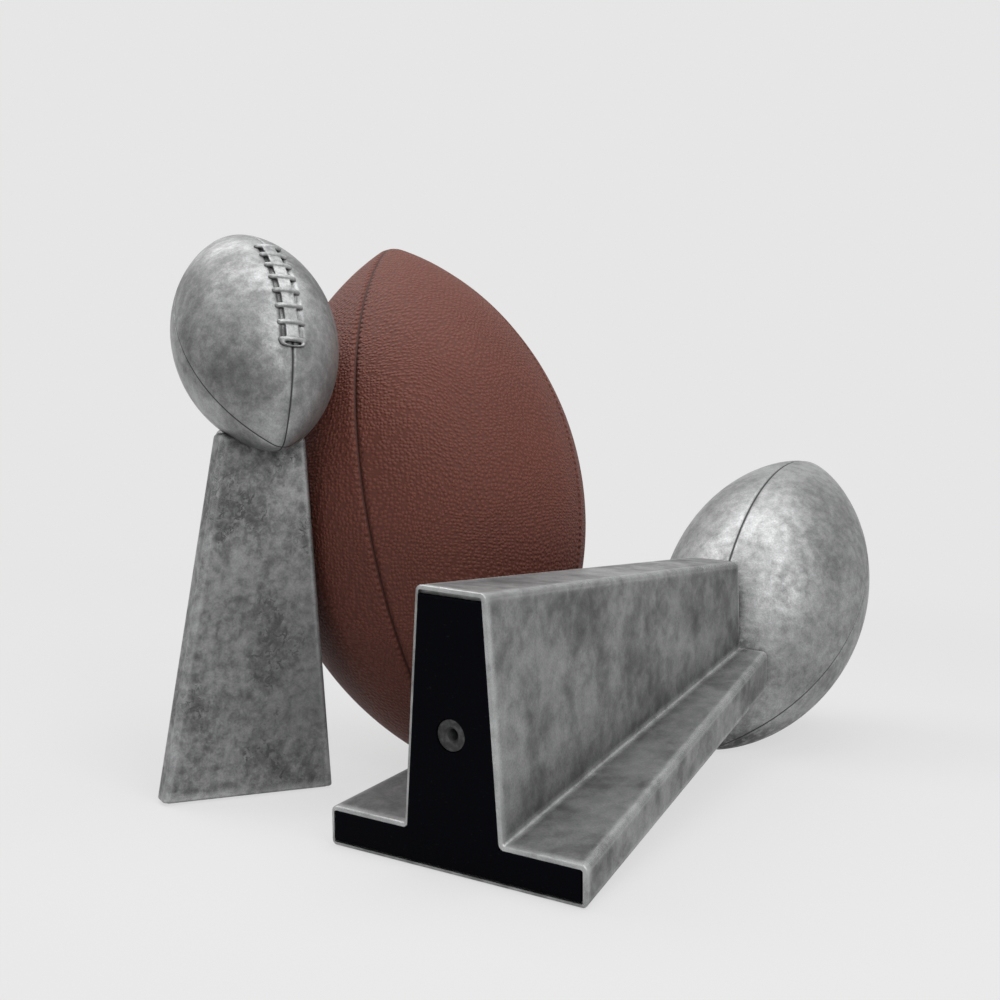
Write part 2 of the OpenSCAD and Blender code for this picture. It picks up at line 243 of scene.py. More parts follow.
def bevelled(piece, kind, test, **settings):
    """Bevels the edges that pass a test, or the edge round the faces that pass it."""
    pick(piece, kind, test)
    if kind == "FACE":
        bpy.ops.mesh.region_to_loop()
    bpy.ops.mesh.bevel(affect="EDGES", **settings)
    bpy.ops.object.mode_set(mode="OBJECT")


def sliced(piece, axis, length, count):
    """Cuts a straight piece across into equal slices, so that it can follow a curve."""
    only(piece)
    bpy.ops.object.mode_set(mode="EDIT")
    for i in range(1, count):
        bpy.ops.mesh.select_all(action="SELECT")
        bpy.ops.mesh.bisect(plane_co=Vector(axis) * ((i / count - 0.5) * length), plane_no=axis)
    bpy.ops.object.mode_set(mode="OBJECT")


def cut_away(piece, name, tool):
    add_modifier(piece, name, "BOOLEAN", object=tool, operation="DIFFERENCE", solver="EXACT")
    bpy.data.objects.remove(tool)


def smooth_at(piece, angle):
    only(piece)
    bpy.ops.object.shade_smooth_by_angle(angle=radians(angle))


# ---- a stand's pieces, upright, with the front edge on y = 0 and the pad's underside on z = 0

def tee_block(name, low, high, outer, front_y, flange_y, root, back, back_y):
    """A T-shaped block: a cube split beside its web, with the web drawn out behind it."""
    deselect()
    bpy.ops.mesh.primitive_cube_add(size=1, location=(0, (front_y + flange_y) / 2, (low + high) / 2),
                                    scale=(2 * outer, flange_y - front_y, high - low))
    block = started(name)
    bpy.ops.object.mode_set(mode="EDIT")
    for x in (-root, root):
        bpy.ops.mesh.select_all(action="SELECT")
        bpy.ops.mesh.bisect(plane_co=(x, 0, 0), plane_no=(1, 0, 0))
    pick(block, "FACE", lambda c, n: n.y > SQUARELY and abs(c.x) < root)
    bpy.ops.mesh.extrude_region_move(TRANSFORM_OT_translate={"value": (0, back_y - flange_y, 0)})
    bpy.ops.transform.resize(value=(back / root, 1, 1), center_override=(0, 0, 0))
    bpy.ops.object.mode_set(mode="OBJECT")
    return block


def pedestal(name, k):
    """The column narrows upwards. Its edges are rounded, and a low rim runs round the pad under its foot."""
    top, foot = PAD_T + k * PEDESTAL_H, PAD_T - RIM_H
    flange_y, back_y = k * FLANGE_FOOT_T, k * (FLANGE_FOOT_T + WEB_FOOT_D)
    root = k * WEB_FOOT_ROOT_W / 2
    column = tee_block(name, foot, top, k * FOOT_W / 2, 0, flange_y, root, k * WEB_FOOT_BACK_W / 2, back_y)
    for v in column.data.vertices:
        if v.co.z < top - NEAR:
            continue
        side = 1 if v.co.x > 0 else -1
        if v.co.y > back_y - NEAR:
            v.co.x, v.co.y = side * k * WEB_TOP_BACK_W / 2, k * (FACE_LEAN + FLANGE_TOP_T + WEB_TOP_D)
            continue
        wide = TOP_W if abs(v.co.x) > root + NEAR else WEB_TOP_ROOT_W
        v.co.x = side * k * wide / 2
        v.co.y = k * (FACE_LEAN + (FLANGE_TOP_T if v.co.y > NEAR else 0))
    only(column)
    bpy.ops.object.mode_set(mode="EDIT")
    bpy.ops.mesh.select_all(action="SELECT")
    bpy.ops.mesh.dissolve_limited(angle_limit=radians(0.5))
    bpy.ops.object.mode_set(mode="OBJECT")

    def in_corner(point):
        return abs(abs(point.x) - root) < NEAR and abs(point.y - flange_y) < NEAR

    # the long edges come first
    weight = column.data.attributes.new("bevel_weight_edge", "FLOAT", "EDGE")
    for e in column.data.edges:
        a, b = (column.data.vertices[i].co for i in e.vertices)
        if abs(a.z - b.z) > top / 2:
            weight.data[e.index].value = JUNCTION_SHARE if in_corner(a) or in_corner(b) else 1.0
    add_modifier(column, "long edges", "BEVEL", limit_method="WEIGHT", width=EDGE_R, segments=5)
    bevelled(column, "FACE", lambda c, n: n.z > SQUARELY, offset=TOP_EDGE_SHARE * EDGE_R, segments=5)
    bevelled(column, "FACE", lambda c, n: n.z < -SQUARELY, offset=FOOT_BEVEL, segments=3)
    pick(column, "FACE", lambda c, n: n.z < -SQUARELY)
    bpy.ops.mesh.inset(thickness=RIM_W, depth=0)
    bpy.ops.mesh.extrude_region_move(TRANSFORM_OT_translate={"value": (0, 0, RIM_H)})
    bpy.ops.object.mode_set(mode="OBJECT")
    for v in column.data.vertices:
        v.co.y = max(v.co.y, FRONT_SLOPE * (PAD_T + FOOT_BEVEL - v.co.z))
    drilled(column, k * INSERT_Y, INSERT_BODY_R + HOLE_GAP, PAD_T + THREAD_L + INSERT_END)
    return column


def drilled(piece, y, radius, depth):
    """A round hole upwards from the floor side."""
    deselect()
    bpy.ops.mesh.primitive_cylinder_add(vertices=64, radius=radius, depth=2 * depth, location=(0, y, 0))
    cut_away(piece, "hole", started("drill"))


def foot_pad(name, k):
    """A black T-shaped plate with a slightly rounded rim and a round hole for the insert."""
    outer = k * FOOT_W / 2 - PAD_INSET - FOOT_BEVEL
    back_y = k * (FLANGE_FOOT_T + WEB_FOOT_D) - PAD_BACK_INSET - FOOT_BEVEL
    plate = tee_block(name, 0, PAD_T, outer, PAD_INSET + FOOT_BEVEL, k * FLANGE_FOOT_T - PAD_INSET,
                      k * WEB_FOOT_ROOT_W / 2 - PAD_INSET, k * WEB_FOOT_BACK_W / 2 - PAD_INSET, back_y)
    bevelled(plate, "FACE", lambda c, n: n.z < -SQUARELY, offset=PAD_EDGE, segments=3, clamp_overlap=True)
    drilled(plate, k * INSERT_Y, INSERT_FLANGE_D / 2 + HOLE_GAP, 2 * PAD_T)
    return plate


def threaded_insert(name, k):
    """A flanged bush with a rounded rim. Its bore carries the ridges of a thread."""
    flange_z = PAD_T - INSERT_FLANGE_T
    rim, flange_r = 0.4, INSERT_FLANGE_D / 2
    closed_z = flange_z + THREAD_L + INSERT_END
    path = [(flange_r - rim, flange_z), (flange_r, flange_z + rim), (flange_r, PAD_T - 0.05),
            (INSERT_BODY_R, PAD_T + 0.1), (INSERT_BODY_R, closed_z), (0.0, closed_z),
            (0.0, flange_z + THREAD_L)]
    for i in range(int(THREAD_L / THREAD_PITCH), 1, -1):
        z = flange_z + i * THREAD_PITCH
        path += [(THREAD_D / 2 + THREAD_DEPTH, z - 0.45 * THREAD_PITCH),
                 (THREAD_D / 2, z - 0.95 * THREAD_PITCH)]
    mouth_r = THREAD_D / 2 + INSERT_MOUTH
    path += [(mouth_r, flange_z + 0.05), (mouth_r + rim, flange_z)]
    mesh = bpy.data.meshes.new(name)
    mesh.from_pydata([(r, 0, z) for r, z in path], [(i, (i + 1) % len(path)) for i in range(len(path))], [])
    bush = bpy.data.objects.new(name, mesh)
    bpy.context.scene.collection.objects.link(bush)
    only(bush)
    bpy.ops.object.mode_set(mode="EDIT")
    bpy.ops.mesh.select_all(action="SELECT")
    bpy.ops.mesh.spin(steps=72, angle=2 * pi, center=(0, 0, 0), axis=(0, 0, 1))
    bpy.ops.mesh.select_all(action="SELECT")
    bpy.ops.mesh.remove_doubles(threshold=0.001)
    bpy.ops.mesh.normals_make_consistent(inside=False)
    bpy.ops.object.mode_set(mode="OBJECT")
    move_mesh(bush, Matrix.Translation((0, k * INSERT_Y, 0)))
    return bush


def football_skin(name, length, width, tip, valley_w, valley_d, ridge, around, along):
    """A whole football. Its vertices crowd towards its four seams, where the skin dips between two low
    ridges. The map seam_map holds the distance from the nearest seam and the run along it, in centimetres."""
    deselect()
    bpy.ops.mesh.primitive_uv_sphere_add(segments=around, ring_count=along, radius=1)
    skin = started(name)
    long_run, tip_run = outline_run(length, width, tip)
    map_at = []
    for v in skin.data.vertices:
        share = acos(max(-1.0, min(1.0, -v.co.z))) / pi
        r, z = outline_point(length, width, tip, share)
        quarter, part = divmod((atan2(v.co.y, v.co.x) % (2 * pi)) / (pi / 2), 1)
        part = (1 - cos(pi * part)) / 2
        angle = (quarter + part) * pi / 2
        away = r * min(part, 1 - part) * pi / 2
        fade = min(1.0, r / (1.6 * tip))
        r -= fade * valley_d * exp(-(2 * away / valley_w) ** 2)
        r += fade * ridge * exp(-((away - 1.5 * valley_w) / valley_w) ** 2)
        v.co = (r * cos(angle), r * sin(angle), z)
        map_at.append((away / 10, share * (long_run + 2 * tip_run) / 10))
    layer = skin.data.uv_layers[0]
    layer.name = "seam_map"
    for corner in skin.data.loops:
        layer.data[corner.index].uv = map_at[corner.vertex_index]
    return skin


def ball_turned(k):
    """The cast football of the small stand sits turned a little in its seat."""
    return turn("Z", SMALL_BALL_TURN if k < 1 else 0)


def trophy_ball(name, k):
    """The cast football. Between its laces the skin has two rows of small pits beside the strip."""
    skin = football_skin(name, CAST_BALL_L, CAST_BALL_D, CAST_TIP_R,
                         valley_w=1.5, valley_d=1.0, ridge=0.1, around=176, along=200)
    span = (LACE_COUNT - 1) * LACE_PITCH
    for v in skin.data.vertices:
        if v.co.y < 0 or abs(v.co.z) > span / 2 + 1 or abs(v.co.x) > LACE_BAR_L:
            continue
        step = ((v.co.z + span / 2) / LACE_PITCH) % 1
        between = max(0.0, sin(pi * step)) ** 0.5
        beside = exp(-((abs(v.co.x) - LACE_STRIP_W / 2 - PIT_AWAY) / PIT_W) ** 2)
        v.co.y -= PIT_DEPTH * between * beside
    move_mesh(skin, cast_ball_place(k) @ ball_turned(k))
    return skin


def on_seam(piece, lift=0.0, z=0.0):
    """Bends a flat piece over the seam at the front of the cast football. y is its height over the skin."""
    r = arc_radius(CAST_BALL_L, CAST_BALL_D, CAST_TIP_R)
    for v in piece.data.vertices:
        a = (v.co.z + z) / r
        out = v.co.y + lift
        middle = radius_at(CAST_BALL_L, CAST_BALL_D, CAST_TIP_R, r * sin(a))
        side = asin(max(-1.0, min(1.0, v.co.x / middle)))
        level = middle + out * cos(a)
        v.co = (level * sin(side), level * cos(side), (r + out) * sin(a))


def trophy_laces(name, k):
    """Cast laces: rounded bars over a flat strip along the seam, closed below by a small loop."""
    span = (LACE_COUNT - 1) * LACE_PITCH
    parts = []
    for i in range(LACE_COUNT):
        deselect()
        bpy.ops.mesh.primitive_cylinder_add(vertices=20, radius=LACE_BAR_D / 2, depth=LACE_BAR_L,
                                            rotation=(0, pi / 2, 0))
        bar = started("bar")
        bevelled(bar, "EDGE", lambda a, b: a.x * b.x > 0, offset=LACE_BAR_D * 0.4, segments=4,
                 clamp_overlap=True)
        pick(bar, "EDGE", lambda a, b: a.x * b.x < 0)
        bpy.ops.mesh.subdivide(number_cuts=11)
        bpy.ops.object.mode_set(mode="OBJECT")
        for v in bar.data.vertices:
            # a bar arches over the strip and sinks at both ends
            v.co.y += LACE_ARCH * (1 - (2 * v.co.x / LACE_BAR_L) ** 2)
        on_seam(bar, z=i * LACE_PITCH - span / 2)
        parts.append(bar)
    deselect()
    bpy.ops.mesh.primitive_cube_add(size=1, scale=(LACE_STRIP_W, LACE_STRIP_T, span + 1))
    strip = started("strip")
    bevelled(strip, "EDGE", lambda a, b: abs(a.z - b.z) > 1, offset=0.6, segments=3)
    sliced(strip, (0, 0, 1), span + 1, 40)
    on_seam(strip, lift=-LACE_STRIP_SUNK)
    parts.append(strip)
    deselect()
    bpy.ops.mesh.primitive_torus_add(major_segments=40, minor_segments=14, major_radius=LACE_LOOP_R,
                                     minor_radius=LACE_LOOP_WIRE_R, rotation=(pi / 2, 0, 0))
    loop = started("loop")
    for v in loop.data.vertices:
        v.co.z *= LACE_LOOP_FLAT
    on_seam(loop, lift=0.5, z=-span / 2 - LACE_BAR_D * 0.62)
    parts.append(loop)
    laces = join(name, parts)
    add_modifier(laces, "one casting", "REMESH", mode="VOXEL", voxel_size=0.42, adaptivity=0)
    add_modifier(laces, "soft casting", "SMOOTH", factor=0.5, iterations=3)
    move_mesh(laces, cast_ball_place(k) @ ball_turned(k))
    return laces


# ---- the leather football, upright about its own centre

def leather_panels():
    """Four sewn panels. Each is a quarter of the skin with the thickness of the leather."""
    whole = football_skin("whole_skin", BALL_L, BALL_D, BALL_TIP_R,
                          valley_w=2.0, valley_d=1.2, ridge=0.3, around=144, along=168)
    panels = []
    for i in range(4):
        panel = copied(whole, "leather_panel_%d" % (i + 1))
        pick(panel, "FACE", lambda c, n: int((degrees(atan2(c.y, c.x)) % 360) // 90) != i)
        bpy.ops.mesh.delete(type="FACE")
        bpy.ops.object.mode_set(mode="OBJECT")
        add_modifier(panel, "leather", "SOLIDIFY", thickness=LEATHER_T - LINING_ROOM, offset=-1)
        panels.append(panel)
    bpy.data.objects.remove(whole)
    deselect()
    bpy.ops.mesh.primitive_cylinder_add(vertices=48, radius=VALVE_D / 2 + 2 * HOLE_GAP, depth=6 * LEATHER_T,
                                        location=(0, BALL_D / 2, 0), rotation=(pi / 2, 0, 0))
    punch = started("punch")
    # the valve sits in the middle of the second panel
    move_mesh(punch, turn("Z", 45))
    cut_away(panels[1], "valve hole", punch)
    return panels


def football_lacing(name):
    """A flat lace: eight bars round the ball across the seam, and one long run that they hold down."""
    r = arc_radius(BALL_L, BALL_D, BALL_TIP_R)
    span = (BALL_LACE_COUNT - 1) * BALL_LACE_PITCH
    parts = []

    def band(across, run, lift, z):
        deselect()
        bpy.ops.mesh.primitive_cube_add(size=1, scale=(across, BALL_LACE_T * 0.62, run))
        piece = started("band")
        upright = run > across
        along = (0, 0, 1) if upright else (1, 0, 0)
        bevelled(piece, "EDGE", lambda a, b: abs((a - b).dot(Vector(along))) > NEAR, offset=0.7, segments=4)
        sliced(piece, along, max(across, run), 28)
        for v in piece.data.vertices:
            a = (v.co.z + z) / r
            middle = radius_at(BALL_L, BALL_D, BALL_TIP_R, r * sin(a))
            sunk = 0.0 if upright else BALL_LACE_ENDS_SUNK * (abs(v.co.x) / (across / 2)) ** 6
            out = v.co.y + lift - sunk
            side = v.co.x / middle
            level = middle + out * cos(a)
            v.co = (level * sin(side), level * cos(side), (r + out) * sin(a))
        parts.append(piece)

    band(BALL_LACE_W, span + BALL_LACE_T, BALL_LACE_T * 0.34, 0)
    for i in range(BALL_LACE_COUNT):
        band(BALL_LACE_BAR_L, BALL_LACE_W, BALL_LACE_T * 0.72, i * BALL_LACE_PITCH - span / 2)
    return join(name, parts)


# ---- shader node groups and materials

def grey(value):
    """A grey that is a little cold."""
    return (value, value * 1.01, value * 1.015, 1.0)


def add_node(tree, kind, **settings):
    node = tree.nodes.new("ShaderNode" + kind)
    for key, value in settings.items():
        if hasattr(node, key):
            setattr(node, key, value)
        else:
            node.inputs[key.replace("_", " ")].default_value = value
    return node


def math_node(tree, operation, a, b=0.5):
    node = add_node(tree, "Math", operation=operation)
    for i, value in enumerate((a, b)):
        if isinstance(value, (int, float)):
            node.inputs[i].default_value = value
        else:
            tree.links.new(value, node.inputs[i])
    return node.outputs[0]


def ramp_between(tree, value, low, high, to_low=0.0, to_high=1.0):
    """A smooth step of a value from low to high."""
    node = add_node(tree, "MapRange", interpolation_type="SMOOTHSTEP")
    tree.links.new(value, node.inputs["Value"])
    for i, number in enumerate((low, high, to_low, to_high)):
        if isinstance(number, (int, float)):
            node.inputs[i + 1].default_value = number
        else:
            tree.links.new(number, node.inputs[i + 1])
    return node.outputs["Result"]


def blend_colour(tree, share, a, b):
    node = add_node(tree, "Mix", data_type="RGBA")
    tree.links.new(share, node.inputs["Factor"])
    for socket, value in ((node.inputs[6], a), (node.inputs[7], b)):
        if isinstance(value, tuple):
            socket.default_value = value
        else:
            tree.links.new(value, socket)
    return node.outputs[2]


def noise(tree, vector, scale, detail=4.0, rough=0.6, distortion=0.0):
    node = add_node(tree, "TexNoise", Detail=detail, Roughness=rough, Distortion=distortion)
    if isinstance(scale, (int, float)):
        node.inputs["Scale"].default_value = scale
    else:
        tree.links.new(scale, node.inputs["Scale"])
    tree.links.new(vector, node.inputs["Vector"])
    return node.outputs["Fac"]


def new_group(name, inputs, outputs):
    """A node group with named inputs (name, kind, default) and outputs (name, kind)."""
    group = bpy.data.node_groups.new(name, "ShaderNodeTree")
    for label, kind, default in inputs:
        socket = group.interface.new_socket(name=label, in_out="INPUT", socket_type="NodeSocket" + kind)
        socket.default_value = default
    for label, kind in outputs:
        group.interface.new_socket(name=label, in_out="OUTPUT", socket_type="NodeSocket" + kind)
    return group, group.nodes.new("NodeGroupInput").outputs, group.nodes.new("NodeGroupOutput").inputs


def wash_and_shade_group():
    """Dark wash on a silver casting: dabs gathered in clouds and fine flecks. Recesses, and places close to
    other things such as the floor and the football, darken further towards near black: partly wash gathered
    in the hollows, partly painted shade.
    """
    group, given, out = new_group(
        "antique wash and shade",
        [("Dab Size", "Float", 200.0), ("Cloud Size", "Float", 25.0), ("Cloud Share", "Float", 0.5),
         ("Softness", "Float", 0.1), ("Flecks", "Float", 0.6), ("Recess", "Float", 0.006),
         ("Silver", "Color", (0.3, 0.3, 0.3, 1)), ("Wash", "Color", (0.1, 0.1, 0.1, 1))],
        [("Color", "Color"), ("Dark", "Float"), ("Height", "Float")])
    place = add_node(group, "TexCoord").outputs["Object"]
    dabs = noise(group, place, given["Dab Size"], 3.0, 0.6, 0.3)
    clouds = noise(group, place, given["Cloud Size"], 3.0, 0.55, 0.2)
    grain = noise(group, place, 1100.0, 3.0, 0.6)
    gathered = add_node(group, "Mix", data_type="FLOAT")
    group.links.new(given["Cloud Share"], gathered.inputs["Factor"])
    group.links.new(dabs, gathered.inputs[2])
    group.links.new(clouds, gathered.inputs[3])
    low = math_node(group, "SUBTRACT", 0.5, given["Softness"])
    high = math_node(group, "ADD", 0.5, given["Softness"])
    washed = ramp_between(group, gathered.outputs[0], low, high)
    flecks = ramp_between(group, noise(group, place, 260.0, 5.0, 0.68, 1.2), 0.48, 0.57)
    flecks = math_node(group, "MULTIPLY", flecks, ramp_between(group, clouds, 0.46, 0.6))
    dark = math_node(group, "MAXIMUM", washed, math_node(group, "MULTIPLY", flecks, given["Flecks"]))
    # painted shade: ambient occlusion, which also reaches the floor and the other pieces, finds where shade
    # falls
    occlusion = add_node(group, "AmbientOcclusion", samples=6)
    group.links.new(given["Recess"], occlusion.inputs["Distance"])
    shaded_recess = ramp_between(group, occlusion.outputs["AO"], 0.88, 0.35)
    broken = ramp_between(group, dabs, 0.36, 0.56, 0.4, 0.9)
    colour = blend_colour(group, dark, given["Silver"], given["Wash"])
    # painted shade: the shaded recesses are blended towards near black, partly standing for wash in the
    # hollows
    colour = blend_colour(group, math_node(group, "MULTIPLY", shaded_recess, broken), colour, grey(0.022))
    shade = add_node(group, "Mix", data_type="RGBA", blend_type="MULTIPLY")
    shade.inputs["Factor"].default_value = 1
    group.links.new(colour, shade.inputs[6])
    group.links.new(ramp_between(group, grain, 0.3, 0.7, 0.86, 1.12), shade.inputs[7])
    group.links.new(shade.outputs[2], out["Color"])
    group.links.new(dark, out["Dark"])
    sunk = math_node(group, "MULTIPLY", dark, 0.4)
    group.links.new(math_node(group, "SUBTRACT", grain, sunk), out["Height"])
    return group


def edge_wear_and_highlight_group():
    """A mask of the edges, the inner corners beside the web among them, broken up along their length: partly
    where the wash has rubbed off, partly a painted highlight along the edges.
    """
    group, given, out = new_group(
        "edge wear", [("Width", "Float", 0.002), ("Amount", "Float", 1.0)], [("Mask", "Float")])
    rounded = add_node(group, "Bevel", samples=6)
    group.links.new(given["Width"], rounded.inputs["Radius"])
    plain = add_node(group, "NewGeometry").outputs["Normal"]
    same = add_node(group, "VectorMath", operation="DOT_PRODUCT")
    group.links.new(rounded.outputs["Normal"], same.inputs[0])
    group.links.new(plain, same.inputs[1])
    edge = ramp_between(group, same.outputs["Value"], 0.995, 0.93)
    place = add_node(group, "TexCoord").outputs["Object"]
    broken = ramp_between(group, noise(group, place, 90.0, 4.0, 0.65), 0.3, 0.62, 0.45, 1.0)
    worn_and_lit = math_node(group, "MULTIPLY", math_node(group, "MULTIPLY", edge, broken), given["Amount"])
    group.links.new(worn_and_lit, out["Mask"])
    return group


def pebble_grain_group():
    """Round leather pebbles in wavering rows, as a height and a mask of the creases between them."""
    group, given, out = new_group(
        "pebble grain", [("Pebble Size", "Float", 450.0)], [("Height", "Float"), ("Crease", "Float")])
    place = add_node(group, "TexCoord").outputs["Object"]
    sway = add_node(group, "TexNoise", Scale=16.0, Detail=1.0)
    group.links.new(place, sway.inputs["Vector"])
    shift = add_node(group, "VectorMath", operation="MULTIPLY_ADD")
    group.links.new(sway.outputs["Color"], shift.inputs[0])
    shift.inputs[1].default_value = (0.02, 0.02, 0.02)
    group.links.new(place, shift.inputs[2])
    cells = add_node(group, "TexVoronoi", feature="F1", Randomness=0.62)
    group.links.new(shift.outputs["Vector"], cells.inputs["Vector"])
    group.links.new(given["Pebble Size"], cells.inputs["Scale"])
    group.links.new(ramp_between(group, cells.outputs["Distance"], 0.68, 0.1), out["Height"])
    group.links.new(ramp_between(group, cells.outputs["Distance"], 0.38, 0.72), out["Crease"])
    return group


def dust_group():
    """Sparse pale specks and hair-thin scratches."""
    group, given, out = new_group("fine dust", [("Amount", "Float", 0.5)], [("Mask", "Float")])
    place = add_node(group, "TexCoord").outputs["Object"]
    specks = ramp_between(group, noise(group, place, 900.0, 2.0, 0.6), 0.70, 0.78)
    stretch = add_node(group, "Mapping")
    stretch.inputs["Scale"].default_value = (40, 600, 1500)
    stretch.inputs["Rotation"].default_value = (0.4, 0.3, 0.6)
    group.links.new(place, stretch.inputs["Vector"])
    lines = ramp_between(group, noise(group, stretch.outputs["Vector"], 1.0, 2.0, 0.5), 0.71, 0.76)
    both = math_node(group, "MAXIMUM", specks, math_node(group, "MULTIPLY", lines, 0.6))
    group.links.new(math_node(group, "MULTIPLY", both, given["Amount"]), out["Mask"])
    return group


WASH_AND_SHADE, EDGE_WEAR_AND_HIGHLIGHT = wash_and_shade_group(), edge_wear_and_highlight_group()
PEBBLE_GRAIN, FINE_DUST = pebble_grain_group(), dust_group()
# length of one stitch of the leather's seams, in centimetres
STITCH_PITCH = 0.34


def new_material(name, **sockets):
    material = bpy.data.materials.new(name)
    material.use_nodes = True
    tree = material.node_tree
    shader = tree.nodes["Principled BSDF"]
    for key, value in sockets.items():
        shader.inputs[key.replace("_", " ")].default_value = value
    return material, tree, shader


def use_group(tree, group, **values):
    node = tree.nodes.new("ShaderNodeGroup")
    node.node_tree = group
    for key, value in values.items():
        node.inputs[key.replace("_", " ")].default_value = value
    return node.outputs


def set_bump(tree, shader, height, strength, distance):
    bump = add_node(tree, "Bump")
    bump.inputs["Strength"].default_value = strength
    bump.inputs["Distance"].default_value = distance
    tree.links.new(height, bump.inputs["Height"])
    tree.links.new(bump.outputs["Normal"], shader.inputs["Normal"])


def seam_place(tree):
    """X is the distance from the nearest seam and Y the run along it, in centimetres."""
    split = add_node(tree, "SeparateXYZ")
    tree.links.new(add_node(tree, "UVMap", uv_map="seam_map").outputs["UV"], split.inputs[0])
    return split.outputs


def silver_material(name, silver, wash, wear_and_highlight=0.0, rough=0.42, seams=False, **pattern):
    """Antique silver. The pattern's values are the wash group's own."""
    material, tree, shader = new_material(name, Metallic=0.72)
    washed = use_group(tree, WASH_AND_SHADE, Silver=grey(silver), Wash=grey(wash), **pattern)
    colour = washed["Color"]
    if seams:
        line = ramp_between(tree, seam_place(tree)["X"], 0.075, 0.03)
        colour = blend_colour(tree, line, colour, grey(wash * 0.35))
    if wear_and_highlight:
        # the edges are painted much lighter than the silver: partly rubbed-off wash, partly a painted
        # highlight
        worn_and_lit = use_group(tree, EDGE_WEAR_AND_HIGHLIGHT, Width=0.006, Amount=wear_and_highlight)["Mask"]
        colour = blend_colour(tree, worn_and_lit, colour, grey(min(0.85, silver * 2.1)))
    tree.links.new(colour, shader.inputs["Base Color"])
    duller = ramp_between(tree, washed["Dark"], 0, 1, rough, rough + 0.16)
    tree.links.new(duller, shader.inputs["Roughness"])
    set_bump(tree, shader, washed["Height"], 0.35, 0.00025)
    return material


def leather_material(name, colour, crease_shade_colour):
    """Pebbled leather, darker and flatter where it is drawn into the seams, with a row of stitches."""
    material, tree, shader = new_material(name, Roughness=0.6, Specular_IOR_Level=0.2)
    grain = use_group(tree, PEBBLE_GRAIN, Pebble_Size=560.0)
    place = add_node(tree, "TexCoord").outputs["Object"]
    tone = ramp_between(tree, noise(tree, place, 14.0, 3.0, 0.6), 0.3, 0.7)
    darker = tuple(c * 0.88 for c in colour[:3]) + (1,)
    base = blend_colour(tree, tone, darker, colour)
    # painted shade: the creases between the pebbles are darkened
    base = blend_colour(tree, math_node(tree, "MULTIPLY", grain["Crease"], 0.42), base, crease_shade_colour)
    seam = seam_place(tree)
    line = ramp_between(tree, seam["X"], 0.11, 0.02)
    base = blend_colour(tree, line, base, tuple(c * 0.3 for c in colour[:3]) + (1,))
    tree.links.new(base, shader.inputs["Base Color"])
    # the stitches pull the leather in beside the seam
    wave = math_node(tree, "SINE", math_node(tree, "MULTIPLY", seam["Y"], 2 * pi / STITCH_PITCH))
    near = math_node(tree, "MULTIPLY", ramp_between(tree, seam["X"], 0.32, 0.18),
                     ramp_between(tree, seam["X"], 0.04, 0.12))
    stitches = math_node(tree, "MULTIPLY", math_node(tree, "MULTIPLY", wave, near), 0.7)
    pebbles = math_node(tree, "MULTIPLY", grain["Height"], ramp_between(tree, seam["X"], 0.06, 0.16))
    height = math_node(tree, "ADD", pebbles, stitches)
    set_bump(tree, shader, height, 0.8, 0.0006)
    return material


def pad_material(name):
    material, tree, shader = new_material(name, Roughness=0.75, Specular_IOR_Level=0.02)
    dust = use_group(tree, FINE_DUST, Amount=0.5)["Mask"]
    colour = blend_colour(tree, dust, (0.0027, 0.0029, 0.0044, 1), (0.03, 0.031, 0.034, 1))
    tree.links.new(colour, shader.inputs["Base Color"])
    place = add_node(tree, "TexCoord").outputs["Object"]
    set_bump(tree, shader, noise(tree, place, 700.0, 3.0, 0.6), 0.25, 0.0002)
    return material


def steel_material(name, tone, rough):
    material, tree, shader = new_material(name, Metallic=0.8)
    place = add_node(tree, "TexCoord").outputs["Object"]
    stain = ramp_between(tree, noise(tree, place, 320.0, 4.0, 0.6), 0.35, 0.7)
    # painted shade: the bore and the insert's other recesses darken to near black
    occlusion = add_node(tree, "AmbientOcclusion", samples=8, Distance=0.004)
    shaded_recess = ramp_between(tree, occlusion.outputs["AO"], 0.75, 0.35)
    colour = blend_colour(tree, stain, grey(tone * 0.5), grey(tone))
    tree.links.new(blend_colour(tree, shaded_recess, colour, grey(0.001)), shader.inputs["Base Color"])
    tree.links.new(ramp_between(tree, stain, 0, 1, rough + 0.15, rough), shader.inputs["Roughness"])
    return material


def lace_material(name):
    """Pale lace with the fine ribs of its coating."""
    material, tree, shader = new_material(name, Roughness=0.55, Specular_IOR_Level=0.35)
    place = add_node(tree, "TexCoord").outputs["Object"]
    soil = ramp_between(tree, noise(tree, place, 160.0, 4.0, 0.65), 0.35, 0.75)
    colour = blend_colour(tree, soil, (0.58, 0.56, 0.5, 1), (0.72, 0.7, 0.65, 1))
    tree.links.new(colour, shader.inputs["Base Color"])
    set_bump(tree, shader, noise(tree, place, 1300.0, 2.0, 0.5), 0.4, 0.0003)
    return material


def fabric_material(name):
    material, tree, shader = new_material(name, Roughness=0.85, Specular_IOR_Level=0.2)
    place = add_node(tree, "TexCoord").outputs["Object"]
    weave = add_node(tree, "TexWave", Scale=400.0, Distortion=1.0)
    tree.links.new(place, weave.inputs["Vector"])
    colour = blend_colour(tree, weave.outputs["Fac"], (0.42, 0.36, 0.26, 1), (0.55, 0.49, 0.37, 1))
    tree.links.new(colour, shader.inputs["Base Color"])
    set_bump(tree, shader, weave.outputs["Fac"], 0.3, 0.0002)
    return material


def rubber_material(name, tone):
    material, tree, shader = new_material(name, Roughness=0.62, Specular_IOR_Level=0.3)
    place = add_node(tree, "TexCoord").outputs["Object"]
    bloom = ramp_between(tree, noise(tree, place, 240.0, 3.0, 0.6), 0.3, 0.8)
    tree.links.new(blend_colour(tree, bloom, grey(tone), grey(tone * 1.6)), shader.inputs["Base Color"])
    return material


def dress(piece, material):
    piece.data.materials.clear()
    piece.data.materials.append(material)


